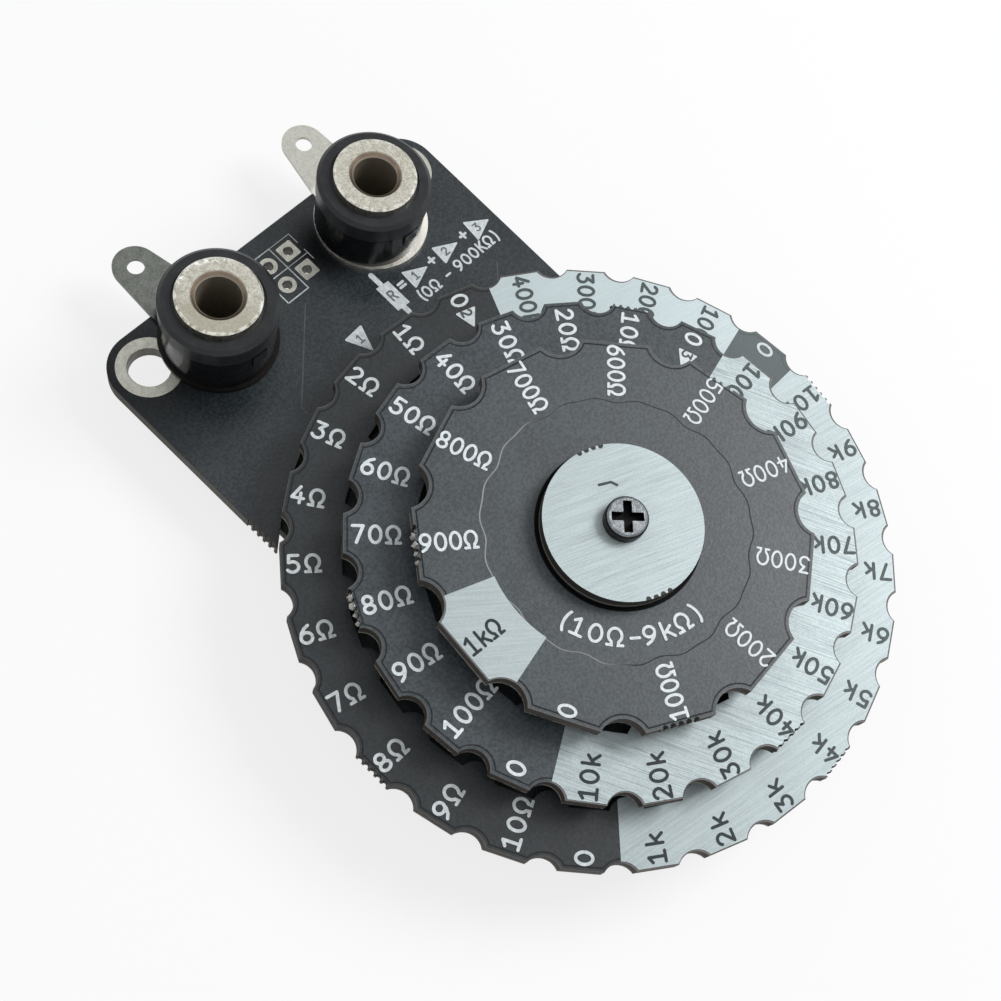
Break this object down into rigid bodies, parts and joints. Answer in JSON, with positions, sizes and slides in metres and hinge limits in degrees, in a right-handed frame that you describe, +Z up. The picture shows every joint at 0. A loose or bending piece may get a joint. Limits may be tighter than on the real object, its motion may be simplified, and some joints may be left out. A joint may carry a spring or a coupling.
{
  "type": "programmable resistor board",
  "caption": "Black circuit board with two banana sockets and three stacked toothed label dials that turn on one pivot screw to set a resistance.",
  "frame": {"origin": "midpoint between the two mounting holes, on the underside of the head board", "axes": "+Z up out of the label faces, +Y from the dial pivot towards the sockets, +X to the right seen from above"},
  "size_m": [0.057, 0.0799, 0.0187],
  "materials": {
    "label_board": "matte black solder mask over glass-fibre laminate",
    "inner_board": "matte black solder mask",
    "tinned_copper": "brushed tin over copper",
    "gold_contact": "thin gold plating",
    "resistor_body": "satin",
    "spacer_plastic": "satin",
    "post_brass": "turned",
    "screw_steel": "dark nickel plated steel, slightly worn",
    "spring_steel": "satin",
    "tag_metal": "dull tin plate",
    "nickel_plate": "nickel plate, satin with small scratches",
    "jack_plastic": "moulded, semi-gloss"
  },
  "bodies": {
    "base": {"head_board": "label_board", "base_carrier": "inner_board", "pivot_post": "post_brass", "hub_disc": "tinned_copper", "pivot_screw": "screw_steel", "disc_spring": "spring_steel", "base_contacts": "gold_contact", "base_spacer": "spacer_plastic", "solder_tag_left": "tag_metal", "solder_tag_right": "tag_metal", "jack_sleeve_left": "jack_plastic", "jack_sleeve_right": "jack_plastic", "jack_collar_left": "jack_plastic", "jack_collar_right": "jack_plastic", "jack_tube_left": "nickel_plate", "jack_tube_right": "nickel_plate", "jack_washer_left": "spacer_plastic", "jack_washer_right": "spacer_plastic", "jack_nut_left": "nickel_plate", "jack_nut_right": "nickel_plate"},
    "dial_1": {"dial_1_ring": "label_board", "dial_1_carrier": "inner_board", "dial_1_resistors": "resistor_body", "dial_1_contacts": "gold_contact", "dial_1_spacer": "spacer_plastic"},
    "dial_2": {"dial_2_ring": "label_board", "dial_2_carrier": "inner_board", "dial_2_resistors": "resistor_body", "dial_2_contacts": "gold_contact", "dial_2_spacer": "spacer_plastic"},
    "dial_3": {"dial_3_ring": "label_board", "dial_3_carrier": "inner_board", "dial_3_resistors": "resistor_body", "dial_3_spacer": "spacer_plastic"}
  },
  "joints": [
    {"name": "dial_1_turn", "type": "hinge", "parent": "base", "child": "dial_1", "pos_m": [0, -0.041, 0], "axis": [0, 0, 1], "continuous": true},
    {"name": "dial_2_turn", "type": "hinge", "parent": "dial_1", "child": "dial_2", "pos_m": [0, -0.041, 0], "axis": [0, 0, 1], "continuous": true},
    {"name": "dial_3_turn", "type": "hinge", "parent": "dial_2", "child": "dial_3", "pos_m": [0, -0.041, 0], "axis": [0, 0, 1], "continuous": true}
  ]
}
